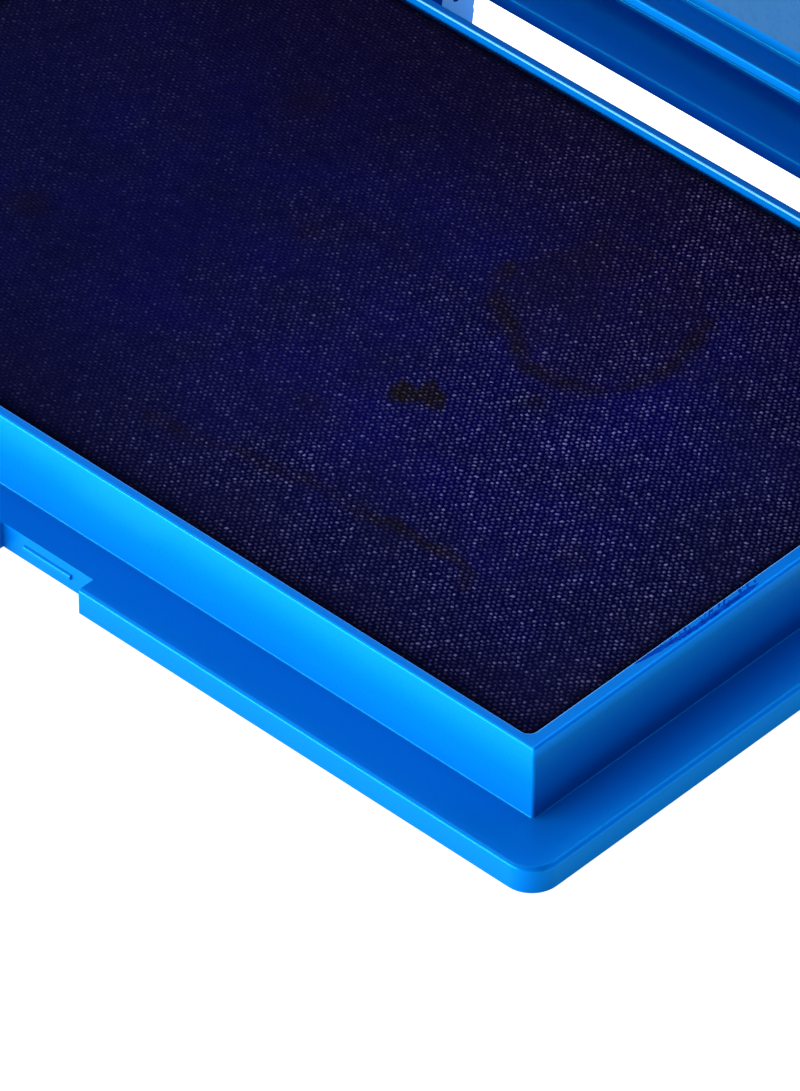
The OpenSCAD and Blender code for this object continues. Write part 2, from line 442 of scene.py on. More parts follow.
def painted_highlight_line(n):
    """Painted highlight: 1 in a thin pale line on the rim, round the edge of the well, and 0 elsewhere."""
    x, y, z = n.split()
    past_x = n.math("MAXIMUM", n.math("SUBTRACT", n.away(x), well_x - WELL_CORNER), 0.0)
    past_y = n.math("MAXIMUM", n.math("SUBTRACT", n.away(y), well_y - WELL_CORNER), 0.0)
    squares = n.math("MULTIPLY_ADD", past_x, past_x, n.math("MULTIPLY", past_y, past_y))
    from_well = n.math("SUBTRACT", n.math("SQRT", squares), WELL_CORNER)
    return n.math("MULTIPLY", n.span(from_well, HIGHLIGHT_LINE_WIDE, 0.6 * HIGHLIGHT_LINE_WIDE),
                  n.math("GREATER_THAN", z, rim_z - RIM_IN))


def painted_edge_light(n):
    """Painted light: how much paler the tray is painted at the top of its walls and at the edges of its short
    flanges.
    """
    x, y, z = n.split()
    from_side, from_end = n.away(x), n.away(y)

    def edge(outwards, start, full, bottom, top, most):
        """Grows outwards from start to full, and upwards from bottom to top."""
        return n.math("MULTIPLY", n.span(outwards, start, full), n.span(z, bottom, top, 0.0, most))

    # Painted highlight on the rounded top edge of the side walls
    side_wall = edge(from_side, wall_x - 0.36 * MM, wall_x - 0.22 * MM,
                     rim_z - 1.5 * MM, rim_z - 0.1 * MM, 1.0)
    # Painted light at the top of the end walls, standing in for light shining through the thin plastic
    end_wall = edge(from_end, wall_y - 0.2 * MM, wall_y - 0.1 * MM,
                    rim_z - 4.5 * MM, rim_z - 0.3 * MM, 0.3)
    # Painted light on the rounded top edge of the short flanges
    side_flange = edge(from_side, flange_x - 0.35 * MM, flange_x - 0.15 * MM,
                       flange_z - 0.6 * MM, flange_z - 0.1 * MM, 0.7)
    on_tray = n.math("MULTIPLY", n.math("LESS_THAN", z, rim_z + 0.1 * MM),
                     n.math("LESS_THAN", from_end, flange_y))
    walls = n.math("MAXIMUM", side_wall, end_wall)
    return n.math("MULTIPLY", n.math("MAXIMUM", walls, side_flange), on_tray)


def inked_weave():
    """Plain-weave cotton soaked with ink, with dried patches, tide marks, painted glints and painted rim
    shade.
    """
    n = Nodes("inked_weave")
    across, along = thread_counts(n)
    height, weft_inside, weft_rise = woven_height(n, across, along)
    fibres = n.noise(0.07 * MM, 2)
    luck = crossing_luck(n, across, along)
    stain, glint_strength = n.attribute("stain"), n.attribute("glint_strength")
    glint = painted_glint(n, luck, fibres, weft_inside, weft_rise, glint_strength)
    patchy = n.noise(9 * MM, 3)
    blueness = n.math("MULTIPLY", n.attribute("middle"), n.span(patchy, 0.3, 0.65, 0.25, 1.0))
    deep = n.mix(blueness, INK_DEEP, INK_BLUE)
    # Painted shade: the cloth is painted darker next to the rim
    deep = n.mix(n.attribute("border"), deep, INK_PAINTED_SHADE)
    # Painted glints: the threads' highlights are painted into the base colour, on clean and on stained cloth
    lit = n.mix(glint, deep, INK_PAINTED_GLINT)
    dried = n.mix(glint, STAIN_DEEP, STAIN_PAINTED_GLINT)
    roughness = n.math("MULTIPLY_ADD", stain, 0.15, n.span(luck, 0.0, 1.0, 0.65, 0.45))
    fuzzy = n.math("MULTIPLY_ADD", fibres, 0.5, height)
    return n.finish(Base_Color=n.mix(stain, lit, dried), Roughness=roughness,
                    Normal=n.bump(fuzzy, WEAVE_DEEP), Specular_IOR_Level=0.0)


def thread_counts(n):
    """Places on the cloth counted in threads, across the warp and along it. The threads sway and wriggle."""
    wander = n.noise(3.5 * MM, 2)
    x, y, _ = n.split(n.stretch(rotation=math.radians(WEAVE_TURN)))
    sway = n.math("MULTIPLY", n.math("SUBTRACT", wander, 0.5), THREAD_SWAY)
    wriggle = n.math("MULTIPLY", n.math("SUBTRACT", n.noise(0.75 * MM, 1), 0.5), THREAD_WRIGGLE)
    across = n.math("ADD", n.math("DIVIDE", x, WARP_PITCH), n.math("ADD", sway, wriggle))
    along = n.math("SUBTRACT", n.math("DIVIDE", y, WEFT_PITCH), n.math("SUBTRACT", sway, wriggle))
    return across, along


def crown(n, inside):
    """Height across a round thread: 1 on its middle and 0 at its edges."""
    return n.math("MULTIPLY_ADD", n.math("MULTIPLY", inside, inside), -4.0, 1.0)


def woven_height(n, across, along):
    """Height of the weave, the place across a weft thread, and how far that thread has risen."""

    def thread(place):
        """Distance from a thread's middle as a share of its pitch, and +1 or -1 for every other thread."""
        inside = n.math("SUBTRACT", n.math("FRACT", place), 0.5)
        odd = n.math("FLOORED_MODULO", n.math("FLOOR", place), 2.0)
        return inside, n.math("MULTIPLY_ADD", odd, -2.0, 1.0)

    warp_inside, warp_sign = thread(across)
    weft_inside, weft_sign = thread(along)
    warp_rise = n.math("MULTIPLY", warp_sign, n.math("SINE", n.math("MULTIPLY", along, math.pi)))
    weft_rise = n.math("MULTIPLY", weft_sign, n.math("SINE", n.math("MULTIPLY", across, -math.pi)))
    warp = n.math("MULTIPLY_ADD", warp_rise, WEAVE_RISE, crown(n, warp_inside))
    weft = n.math("MULTIPLY_ADD", weft_rise, WEAVE_RISE, crown(n, weft_inside))
    return n.math("MAXIMUM", warp, weft), weft_inside, weft_rise


def crossing_luck(n, across, along):
    """A number from 0 to 1 that is the same all over one crossing of two threads."""
    cell = n.tree.nodes.new("ShaderNodeCombineXYZ")
    n.put(cell, 0, n.math("FLOOR", across))
    n.put(cell, 1, n.math("FLOOR", along))
    chance = n.tree.nodes.new("ShaderNodeTexWhiteNoise")
    n.put(chance, "Vector", cell.outputs[0])
    return chance.outputs["Value"]


def painted_glint(n, luck, fibres, weft_inside, weft_rise, glint_strength):
    """How much painted glint the tops of the weft threads get in the base colour. It differs from crossing to
    crossing.
    """
    second_luck = n.math("FRACT", n.math("MULTIPLY", luck, 37.0))
    jitter = n.math("MULTIPLY_ADD", luck, 0.24, n.math("SUBTRACT", weft_inside, 0.12))
    frayed = n.math("MULTIPLY_ADD", fibres, 0.9, crown(n, jitter))
    risen = n.span(weft_rise, -0.65, 0.9, smooth=True)
    top = n.math("MULTIPLY", risen, n.span(frayed, 0.80, 1.62, smooth=True))
    dimming = n.span(second_luck, 0.0, 1.0, 0.45, 1.2)
    rare = n.span(n.math("POWER", luck, 4.0), 0.0, 1.0, 0.34, 1.28)
    shine = n.math("MULTIPLY", top, n.math("MULTIPLY", rare, dimming))
    # Where the painted glints are weak they flatten towards an even level
    crisp = n.math("MULTIPLY_ADD", n.math("SUBTRACT", shine, FLAT_GLINT), glint_strength, FLAT_GLINT)
    cluster = n.span(n.noise(1.1 * MM, 2), 0.3, 0.7, 0.58, 1.22)
    return n.math("MULTIPLY", n.math("MULTIPLY", crisp, cluster), n.span(glint_strength, 0.15, 1.0, 0.30, 1.0))


def soaked_felt():
    """Dense felt dyed by the ink, with short matted fibres."""
    n = Nodes("soaked_felt")
    clumps = n.noise(1.6 * MM, 4, 0.6)
    fibres = n.noise(0.12 * MM, 3, vector=n.stretch((1, 1, 3)))
    colour = n.mix(n.span(clumps, 0.3, 0.7), FELT_DARK, FELT_LIGHT)
    normal = n.bump(fibres, 0.08 * MM, under=n.bump(clumps, 0.25 * MM))
    return n.finish(Base_Color=colour, Roughness=n.span(fibres, 0.3, 0.7, 0.7, 0.95), Normal=normal)


def pressed_board():
    """Grey pressed board with flecks, and ink that has crept in."""
    n = Nodes("pressed_board")
    flecks = n.noise(0.6 * MM, 5, 0.7, vector=n.stretch((1, 2.5, 1)))
    crept = n.noise(14 * MM, 3)
    card = n.mix(n.span(flecks, 0.35, 0.65), CARD_DARK, CARD_LIGHT)
    colour = n.mix(n.span(crept, 0.5, 0.75, 0.0, 0.8, smooth=True), card, CARD_INKED)
    return n.finish(Base_Color=colour, Roughness=n.span(flecks, 0.3, 0.7, 0.75, 0.9),
                    Normal=n.bump(flecks, 0.03 * MM))


def foam_tape():
    """Off-white foam tape with open cells."""
    n = Nodes("foam_tape")
    cells = n.noise(0.25 * MM, 2)
    colour = n.mix(n.span(cells, 0.3, 0.7), TAPE_DARK, TAPE_LIGHT)
    return n.finish(Base_Color=colour, Roughness=n.span(cells, 0.3, 0.7, 0.5, 0.8),
                    Normal=n.bump(cells, 0.04 * MM))


def coated_label(name, half_long, half_short, centre, turn):
    """Blank coated paper with a printed border line and a plain band, and a little handling dirt.

    turn takes a point of the object into the label's own flat place, and centre is its middle there.
    """
    n = Nodes(name)
    mapping = n.tree.nodes.new("ShaderNodeMapping")
    mapping.vector_type = "POINT"
    n.put(mapping, "Vector", n.place)
    mapping.inputs["Rotation"].default_value = (turn, 0, 0)
    x, y, _ = n.split(mapping.outputs[0])
    edge = n.math("MINIMUM", n.math("SUBTRACT", half_long, n.away(x, centre[0])),
                  n.math("SUBTRACT", half_short, n.away(y, centre[1])))
    line = n.math("MULTIPLY", n.math("GREATER_THAN", edge, 2.2 * MM), n.math("LESS_THAN", edge, 2.9 * MM))
    from_band = n.away(y, centre[1] - 0.45 * half_short)
    band = n.math("MULTIPLY", n.math("LESS_THAN", from_band, 0.16 * half_short),
                  n.math("GREATER_THAN", edge, 4.5 * MM))
    printed = n.math("MAXIMUM", line, band)
    fibres = n.noise(0.15 * MM, 3)
    grime = n.noise(11 * MM, 4)
    paper = n.mix(n.span(grime, 0.55, 0.8, 0.0, 0.35), PAPER_CLEAN, PAPER_GRIMY)
    colour = n.mix(printed, paper, PAPER_PRINT)
    return n.finish(Base_Color=colour, Roughness=n.span(fibres, 0.3, 0.7, 0.32, 0.42),
                    Normal=n.bump(fibres, 0.004 * MM), Specular_IOR_Level=0.15)


def sealing_film():
    """Milky film with slight waves and a mist of ink spots where the pad has breathed on it."""
    n = Nodes("sealing_film")
    waves = n.noise(13 * MM, 2)
    mist = n.noise(0.9 * MM, 3, 0.7)
    cloud = n.noise(16 * MM, 2)
    spots = n.math("MULTIPLY", n.span(mist, 0.62, 0.72), n.span(cloud, 0.45, 0.7))
    colour = n.mix(n.math("MULTIPLY", spots, 0.55), FILM_CLEAR, FILM_MISTED)
    return n.finish(Base_Color=colour, Roughness=n.span(mist, 0.3, 0.7, 0.24, 0.34),
                    Normal=n.bump(waves, 0.25 * MM), Specular_IOR_Level=0.2)


def drawn_steel():
    """Drawn wire: fine lines along the pin and a trace of tarnish."""
    n = Nodes("drawn_steel")
    lines = n.noise(0.05 * MM, 2, vector=n.stretch((0.04, 1, 1)))
    tarnish = n.noise(2.2 * MM, 3)
    colour = n.mix(n.span(tarnish, 0.45, 0.75), STEEL_CLEAN, STEEL_TARNISHED)
    return n.finish(Base_Color=colour, Metallic=1.0, Roughness=n.span(lines, 0.3, 0.7, 0.24, 0.42),
                    Normal=n.bump(lines, 0.004 * MM))


def dried_ink_film():
    """Glossy dark ink that has dried in ridges on the rim."""
    n = Nodes("dried_ink_film")
    ridges = n.noise(0.35 * MM, 4, 0.6, vector=n.stretch((1, 0.35, 1)))
    colour = n.mix(n.span(ridges, 0.40, 0.66), SMEAR_THICK, SMEAR_THIN)
    return n.finish(Base_Color=colour, Roughness=n.span(ridges, 0.3, 0.7, 0.2, 0.4),
                    Normal=n.bump(ridges, 0.01 * MM),
                    Specular_IOR_Level=0.12, Specular_Tint=PLASTIC_SPECULAR)


PLASTIC = moulded_plastic()


# ---------------------------------------------------------------- tray

def tray_moulding():
    """Flange, raised wall and well, with its foot pockets, catch notch and hinge knuckles."""
    soft_foot, fillet, rim_out, well_fillet = 0.15 * MM, 0.11 * MM, 0.32 * MM, 0.4 * MM
    stations = (
        arc(FLANGE, soft_foot, soft_foot, soft_foot, -90, 0)
        + arc(FLANGE, FLANGE_EDGE, flange_z - FLANGE_EDGE, FLANGE_EDGE, 0, 90)
        + arc(WALL, -fillet, flange_z + fillet, fillet, -90, -180)
        + arc(WALL, rim_out, rim_z - rim_out, rim_out, 0, 90)
        + arc(WELL, -RIM_IN, rim_z - RIM_IN, RIM_IN, 90, 180)
        + arc(WELL, well_fillet, flange_z + well_fillet, well_fillet, 0, -90)
    )
    tray = skin("tray_moulding", stations)
    notch_half, notch_back = TAB_WIDE / 2 + TAB_GAP, -flange_y + NOTCH_DEEP
    notch = block("notch", (-notch_half, -flange_y - NOTCH_DEEP, -MM), (notch_half, notch_back, 4 * MM))
    combine(tray, foot_pockets() + [notch], "DIFFERENCE")

    notch_wall = block("notch_wall", (-notch_half - FOOT, notch_back, 0),
                       (notch_half + FOOT, notch_back + FOOT, flange_z - 0.8 * MM))
    bead = cylinder_x("bead", notch_back, flange_z / 2 + 0.1 * MM, CATCH_BEAD,
                      -TAB_WIDE / 2 + 2 * MM, TAB_WIDE / 2 - 2 * MM, 24)
    apart = (LID_KNUCKLE + TRAY_KNUCKLE + 2 * KNUCKLE_GAP) / 2
    knuckles = [tray_knuckle(side * hinge_x + end * apart) for side in (-1, 1) for end in (-1, 1)]
    combine(tray, [notch_wall, bead] + knuckles, "UNION")
    combine(tray, hinge_bores(clearance=0.01 * MM, reach=12 * MM), "DIFFERENCE")
    shade(tray)
    dress(tray, PLASTIC)
    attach(tray, "tray")
    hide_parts("base_tray")
    return tray


def foot_pockets():
    """Cutters for the four pockets between the ribs under the tray."""
    half_x, half_y = flange_x / 2 - 0.75 * FOOT, flange_y / 2 - 0.75 * FOOT
    outline = (half_x, half_y, 1.0 * MM)
    round_in = 0.4 * MM
    pockets = []
    for side in (-1, 1):
        for end in (-1, 1):
            pocket = skin("pocket", [(outline, 0, -1 * MM)]
                          + arc(outline, round_in, POCKET_DEEP - round_in, round_in, 0, 90))
            pocket.location = (side * (half_x + FOOT / 2), end * (half_y + FOOT / 2), 0)
            pockets.append(pocket)
    bpy.context.view_layer.update()
    return pockets


def hinge_bores(clearance, reach):
    """Cutters for the two hinge pins, with clearance round them and their reach to either side."""
    return [cylinder_x("bore", hinge_point.y, hinge_point.z, pin_r + clearance,
                       side * hinge_x - reach, side * hinge_x + reach) for side in (-1, 1)]


def tray_knuckle(middle_x):
    """One of the tray's hinge knuckles, with the sloping stop behind it that the open lid leans on."""
    slope, reach = open_angle - math.pi / 2, 3.0 * MM
    out = Vector((math.cos(slope), -math.sin(slope)))
    up = Vector((math.sin(slope), math.cos(slope)))
    axis = Vector((hinge_point.y, hinge_point.z))
    low_corner = axis - up * knuckle_r + out * reach
    high_corner = axis + up * knuckle_r + out * reach
    low, soft, half = 0.05 * MM, 0.15 * MM, TRAY_KNUCKLE / 2
    profile = [(flange_y + 0.02 * MM, low), (axis.x + knuckle_r, low),
               (axis.x + knuckle_r, low_corner.y + 0.1 * MM), tuple(low_corner), tuple(high_corner)]
    profile += curve_points(axis.x, axis.y, knuckle_r, 90 - math.degrees(slope), 180)
    knuckle = prism("knuckle", profile, middle_x - half, middle_x + half, soft)
    root = block("root", (middle_x - half + soft, flange_y - MM, low),
                 (middle_x + half - soft, flange_y + MM, flange_z - 0.3 * MM))
    combine(knuckle, [root], "UNION")
    return knuckle


# ---------------------------------------------------------------- pad

def cloth_cover():
    """The inked cloth: a taut sheet over the felts, rolled over the edge and turned in under the board."""
    thick, roll, hem = 0.35 * MM, 0.9 * MM, 6.0 * MM
    hem_soft, inner_soft = 0.2 * MM, 0.6 * MM
    step = 0.62 * MM
    outer = (cloth_high.x, cloth_high.y, WELL_CORNER - PAD_GAP)
    inner = (outer[0] - thick, outer[1] - thick, 0.5 * MM)
    top, bottom = cloth_high.z, cloth_low.z
    rows = int((outer[1] - roll) / step)
    last = outer[1] - TOUCHING
    stations = [(outer, last - (last - roll) * k / rows, top) for k in range(rows)]
    stations += arc(outer, roll, top - roll, roll, 90, 0, 7)
    stations += [(outer, 0, bottom + 0.3 * MM)]
    stations += arc(outer, hem_soft, bottom + hem_soft, hem_soft, 0, -90, 3)
    stations += [(outer, hem, bottom), (outer, hem, bottom + thick), (inner, 0, bottom + thick),
                 (inner, 0, top - thick - inner_soft), (inner, inner_soft, top - thick)]
    cover = skin("cloth_cover", stations, cells=(150, 96), caps=False)
    mesh = cover.data
    bm = bmesh.new()
    bm.from_mesh(mesh)
    bmesh.ops.holes_fill(bm, edges=[e for e in bm.edges if e.is_boundary])
    bmesh.ops.recalc_face_normals(bm, faces=bm.faces)
    ripple(bm, top)
    bm.to_mesh(mesh)
    bm.free()
    for polygon in mesh.polygons:
        polygon.use_smooth = True
    paint_stains(mesh)
    dress(cover, inked_weave())
    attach(cover, "tray")
    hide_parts("ink_cloth")
    return cover


def ripple(bm, top):
    """Lifts and lowers the cloth's top a little, and fades that out down the edge."""
    fade = 0.3 * MM
    for vert in bm.verts:
        if vert.co.z > top - fade:
            share = max(0.0, min(1.0, (vert.co.z - top + fade) / fade))
            place = Vector((vert.co.x, vert.co.y, 0))
            slow = noise.noise(place / (17 * MM))
            quick = noise.noise(place / (4 * MM) + Vector((5, 5, 5)))
            vert.co.z += share * (0.05 * slow + 0.012 * quick) * MM


# Places of the dried patches and tide marks on the cloth, in millimetres from the pad's middle
BLOB = [((14.3, -8.5), 0.9), ((13.9, -7.3), 0.7), ((15.3, -6.9), 1.3), ((16.9, -6.8), 0.95),
        ((15.1, -5.5), 0.65)]
HOOK = [(24.4, -22.3), (27.0, -21.9), (30.5, -21.8), (33.2, -21.5), (34.8, -21.4), (35.7, -22.2),
        (36.3, -23.6)]
FAINT_RUN = [(-0.4, -26.1), (5.4, -25.5), (9.2, -24.2), (13.6, -23.5), (18.0, -22.6), (24.4, -22.3)]
TIDE_LEFT = [(8.5, 12.0), (10.9, 8.2), (14.6, 5.8), (16.5, 4.6), (18.4, 3.3)]
TIDE_FRONT = [(18.4, 3.3), (20.5, 2.7), (22.9, 2.8), (25.7, 3.5)]
TIDE_RIGHT = [(25.7, 3.5), (28.2, 6.4), (29.3, 10.4), (28.8, 14.0), (27.5, 18.5)]
TIDES = ((TIDE_LEFT, 0.95), (TIDE_FRONT, 0.8), (TIDE_RIGHT, 0.75))
PATCH = TIDE_LEFT + TIDE_FRONT + TIDE_RIGHT + [(22, 24), (12, 22)]
SPOTS = [((15.7, -7.2), 2.6), ((12.9, 6.6), 1.1), ((18.1, 3.6), 0.9), ((21.3, 2.8), 1.0),
         ((14.3, 3.9), 0.8), ((23.4, -0.6), 1.3), ((9.0, -14.5), 1.6), ((-8.5, 3.0), 1.5),
         ((41.0, -14.0), 1.8), ((-30.0, -12.0), 2.2), ((-22.0, 17.0), 2.6)]


def share_of(value, low, high):
    """How far a value has come from low to high, from 0 to 1."""
    return max(0.0, min(1.0, (value - low) / (high - low)))


def mark(distance, half_width, softness):
    """1 up to half_width from the middle of a stain, fading to 0 over its softness."""
    return max(0.0, min(1.0, 1 - (distance - half_width) / softness))


def near_line(point, line):
    """Distance from a point to a line through several points, in the plane."""
    best = math.inf
    for start, end in zip(line, line[1:]):
        a, b = Vector(start), Vector(end)
        share = max(0.0, min(1.0, (point - a).dot(b - a) / (b - a).length_squared))
        best = min(best, (point - a.lerp(b, share)).length)
    return best


def inside(point, corners):
    """True if a point lies inside a closed outline."""
    result = False
    for (x1, y1), (x2, y2) in zip(corners, corners[1:] + corners[:1]):
        if (y1 > point.y) != (y2 > point.y) and point.x < (x2 - x1) * (point.y - y1) / (y2 - y1) + x1:
            result = not result
    return result


def stain_at(place):
    """How stained the cloth is, from 0 to 1, at a place in millimetres."""
    shift = Vector((noise.noise(place / 1.7), noise.noise(place / 1.7 + Vector((9, 3, 0)))))
    broken = 0.5 + 0.5 * noise.noise(place / 2.3 + Vector((0, 7, 4)))
    fine = 0.5 + 0.5 * noise.noise(place / 0.7)
    point = Vector((place.x, place.y)) + shift * 0.5
    blob = [mark((point + shift * 0.5 - Vector(spot)).length, radius, 0.6) for spot, radius in BLOB]
    tail = 1 - 0.45 * share_of(place.x, 33.5, 35.5)
    hook = mark(near_line(point, HOOK), 0.28, 0.55) * (0.5 + 0.5 * broken) * tail
    faint = mark(near_line(point, FAINT_RUN), 0.3, 0.9) * 0.8 * broken
    tides = [mark(near_line(point, tide), 0.4, 1.2) * strength * (0.20 + 1.10 * broken)
             for tide, strength in TIDES]
    spots = [mark((point - Vector(spot)).length, radius * 0.35, radius) * 0.5 * (0.4 + 0.6 * fine)
             for spot, radius in SPOTS]
    patch = 0.2 + 0.14 * broken if inside(point, PATCH) else 0.0
    return min(1.0, max(hook, faint, patch, *blob, *tides, *spots) * (0.75 + 0.4 * fine))


def glint_strength_at(place):
    """How strong the painted glints are at a place in millimetres: weaker to the left, and strongest on the
    right.
    """
    glint_share = 0.30 + 0.70 * share_of(place.x, -16, 22)
    glint_share *= (1 - 0.05 * share_of(place.x, 37, 42)) * (1 - 0.07 * share_of(-place.y, 18, 26))
    # A brighter patch of painted glints to the right of the middle
    from_shine = ((place.x - 33) / 18) ** 2 + ((place.y + 5) / 13) ** 2
    glint_share *= 1 + 0.34 * max(0.0, 1 - from_shine)
    return glint_share * (1 + 0.35 * noise.noise(place / 6.5 + Vector((2, 2, 2))))


def paint_stains(mesh):
    """Writes four shares for each point of the cloth: stained, painted glint, painted rim shade, blue in the
    middle.
    """
    stain = mesh.attributes.new("stain", "FLOAT", "POINT")
    glint_strength = mesh.attributes.new("glint_strength", "FLOAT", "POINT")
    border = mesh.attributes.new("border", "FLOAT", "POINT")
    middle = mesh.attributes.new("middle", "FLOAT", "POINT")
    for index, vert in enumerate(mesh.vertices):
        place = vert.co / MM
        from_edge = min(cloth_high.x / MM - abs(place.x), cloth_high.y / MM - abs(place.y))
        # Painted shade next to the rim: 1 at the rim, fading out about 1.7 mm in
        rim_shade = 1 - max(0.0, min(1.0, (from_edge - 0.4) / 1.3))
        left_fade = 0.45 + 0.55 * share_of(place.x, -20, 15)
        stain.data[index].value = stain_at(place)
        # Strength of the painted glints, faded out next to the rim
        glint_strength.data[index].value = max(0.0, glint_strength_at(place) * (1 - 0.8 * rim_shade))
        border.data[index].value = rim_shade
        middle.data[index].value = left_fade * share_of(from_edge, 1, 21)


def felt_pad(name, low, high, node, soft):
    """A slab of felt with a soft, slightly uneven cut edge."""
    outline = (high.x, high.y, 0.5 * MM)
    stations = (arc(outline, soft, low.z + soft, soft, -90, 0, 3) + [(outline, 0, (low.z + high.z) / 2)]
                + arc(outline, soft, high.z - soft, soft, 0, 90, 3))
    pad = skin(name, stations, cells=(70, 44))
    for vert in pad.data.vertices:
        side = Vector((vert.co.x, vert.co.y, 0))
        pull = 0.5 + 0.5 * noise.noise(vert.co / (2.5 * MM))
        vert.co -= side.normalized() * 0.12 * MM * pull
    shade(pad, 50)
    dress(pad, FELT)
    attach(pad, "tray")
    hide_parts(node)
    return pad


def settle_order(bm):
    """Orders edges and faces by their points, because solidify makes its sides in a new order each run."""
    bm.verts.index_update()
    count = len(bm.verts)

    def rank(element):
        """A number that no other edge or face has, made from its lowest two or three points."""
        number = 0
        for index in sorted(vert.index for vert in element.verts)[:3]:
            number = number * count + index
        return number

    bm.edges.sort(key=rank)
    bm.faces.sort(key=rank)


def dried_ink():
    """A ragged film of ink that was wiped up over the right rim's inner edge and has dried there."""
    near_y, far_y, cell, thick = -21.6 * MM, -6.0 * MM, 0.06 * MM, 0.012 * MM
    columns, rows = int((RIM_SIDE - 0.35 * MM) / cell), int((far_y - near_y) / cell)

    def surface(column, row):
        """A point a hair above the rim, which falls away in a round at the inner edge."""
        inward = column * cell
        fall = RIM_IN - math.sqrt(max(RIM_IN ** 2 - max(RIM_IN - inward, 0.0) ** 2, 0.0))
        return well_x + inward, near_y + row * cell, rim_z - fall + thick

    def inked(column, row):
        """True where the wiped stroke, or one of the ticks between it and the pad, has left ink."""
        share, across = row / rows, column * cell / MM
        along = row * cell / MM
        sway = 0.05 * noise.noise(Vector((along / 1.4, 0, 0)))
        middle = 0.14 + 0.66 * min(1.0, along / 7.0) ** 0.85 + sway
        half = 0.24 + 0.09 * noise.noise(Vector((along / 0.6, 5, 0)))
        half += 0.05 * noise.noise(Vector((along / 0.2, 8, 0)))
        half *= min(1.0, 6 * share + 0.3, 14 * (1 - share))
        tick = noise.noise(Vector(((along + 0.8 * across) / 0.32, across / 0.5, 3)))
        return abs(across - middle) < half or (0.08 < across < middle and tick > 0.2)

    bm = bmesh.new()
    corners = {}
    for row in range(rows):
        for column in range(1, columns):
            if inked(column, row):
                places = ((column, row), (column + 1, row), (column + 1, row + 1), (column, row + 1))
                for place in places:
                    if place not in corners:
                        corners[place] = bm.verts.new(surface(*place))
                bm.faces.new([corners[place] for place in places])
    ragged = [v for v in bm.verts if v.is_boundary]
    bmesh.ops.smooth_vert(bm, verts=ragged, factor=0.5, use_axis_x=True, use_axis_y=True)
    bmesh.ops.solidify(bm, geom=bm.faces[:], thickness=thick)
    settle_order(bm)
    film = as_object("dried_ink", bm)
    dress(film, dried_ink_film())
    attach(film, "tray")
    return film


# ---------------------------------------------------------------- lid

def lid_moulding():
    """Lid with its skirt, inner rib, label panel, finger tab and knuckles, made closed and then opened."""
    low, top = flange_z + SEAT_GAP, lid_closed_high.z
    ceiling = liner_high.z
    outer = (flange_x - LID_INSET, flange_y - LID_INSET, FLANGE_CORNER - LID_INSET)
    skirt = outset(outer, -LID_SKIRT)
    rib_in = outset(WALL, RIB_GAP, 0.5 * MM)
    rib_out = outset(rib_in, RIB_THICK, 1.5 * MM)
    panel = (label_high.x + LABEL_MARGIN, (label_high.y - label_low.y) / 2 + LABEL_MARGIN, 2 * MM)
    edge, fillet, rib_low = 0.2 * MM, 0.35 * MM, ceiling - RIB_HIGH
    crease = 0.1 * MM
    stations = (
        arc(rib_in, fillet, ceiling - fillet, fillet, 90, 0)
        + arc(rib_in, -edge, rib_low + edge, edge, 180, 270)
        + arc(rib_out, edge, rib_low + edge, edge, -90, 0)
        + arc(rib_out, -fillet, ceiling - fillet, fillet, 180, 90)
        + arc(skirt, fillet, ceiling - fillet, fillet, 90, 0)
        + arc(skirt, -edge, low + edge, edge, 180, 270)
        + arc(outer, edge, low + edge, edge, -90, 0)
        + arc(outer, LID_EDGE, top - LID_EDGE, LID_EDGE, 0, 90, 8)
        + arc(panel, -crease, top - crease, crease, 90, 180, 3)
        + arc(panel, crease, top - LABEL_RECESS + crease, crease, 0, -90, 3)
    )
    lid = skin("lid_moulding", stations)
    knuckles = [lid_knuckle(side * hinge_x, low) for side in (-1, 1)]
    combine(lid, knuckles + [finger_tab(low)], "UNION")
    combine(lid, hinge_bores(clearance=0.05 * MM, reach=6 * MM), "DIFFERENCE")
    lid.data.transform(to_open)
    shade(lid)
    dress(lid, PLASTIC)
    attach(lid, "lid")
    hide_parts("lid_shell")
    return lid


def lid_knuckle(middle_x, low):
    """One of the lid's hinge knuckles, with its root in the lid's skirt."""
    y, z = hinge_point.y, hinge_point.z
    root_y = y - knuckle_r - LID_INSET - LID_SKIRT / 2
    profile = [(root_y, low + 0.2 * MM), (y - knuckle_r * 0.45, low + 0.02 * MM)]
    profile += curve_points(y, z, knuckle_r, -115, 90)
    profile += [(y - knuckle_r * 0.6, z + knuckle_r), (root_y, z + knuckle_r + 0.6 * MM)]
    return prism("knuckle", profile, middle_x - LID_KNUCKLE / 2, middle_x + LID_KNUCKLE / 2, 0.15 * MM)


def finger_tab(low):
    """Tab at the front of the lid, with a lip for the finger outside and the catch's bead inside."""
    thick, clear, bottom, lip = 1.1 * MM, 0.65 * MM, 0.7 * MM, 0.7 * MM
    inner = -flange_y + NOTCH_DEEP - clear
    face = inner - thick
    profile = [(face, low + 1 * MM), (face, bottom + 2 * lip)]
    profile += curve_points(face, bottom + lip, lip, 90, 270, 14)
    profile += curve_points(inner - CATCH_BEAD, bottom + CATCH_BEAD, CATCH_BEAD, -90, 0, 6)
    profile += [(inner, low + 1 * MM)]
    return prism("tab", profile, -TAB_WIDE / 2, TAB_WIDE / 2, 0.25 * MM)


# ---------------------------------------------------------------- the pieces

FELT = soaked_felt()
tray_moulding()
cloth_cover()
felt_pad("wick_pad", wick_low, wick_high, "wicking_felt", 0.3 * MM)
felt_pad("reservoir_pad", reservoir_low, reservoir_high, "reservoir_felt", 0.6 * MM)
dried_ink()
lid_moulding()

closed_label_middle = Vector(((label_low.x + label_high.x) / 2, (label_low.y + label_high.y) / 2, 0))
turned_shift = Matrix.Rotation(open_angle, 3, "X") @ hinge_point - hinge_point
lid_label_middle = (closed_label_middle.x, closed_label_middle.y + turned_shift.y)
base_label_middle = (base_label_low + base_label_high) / 2

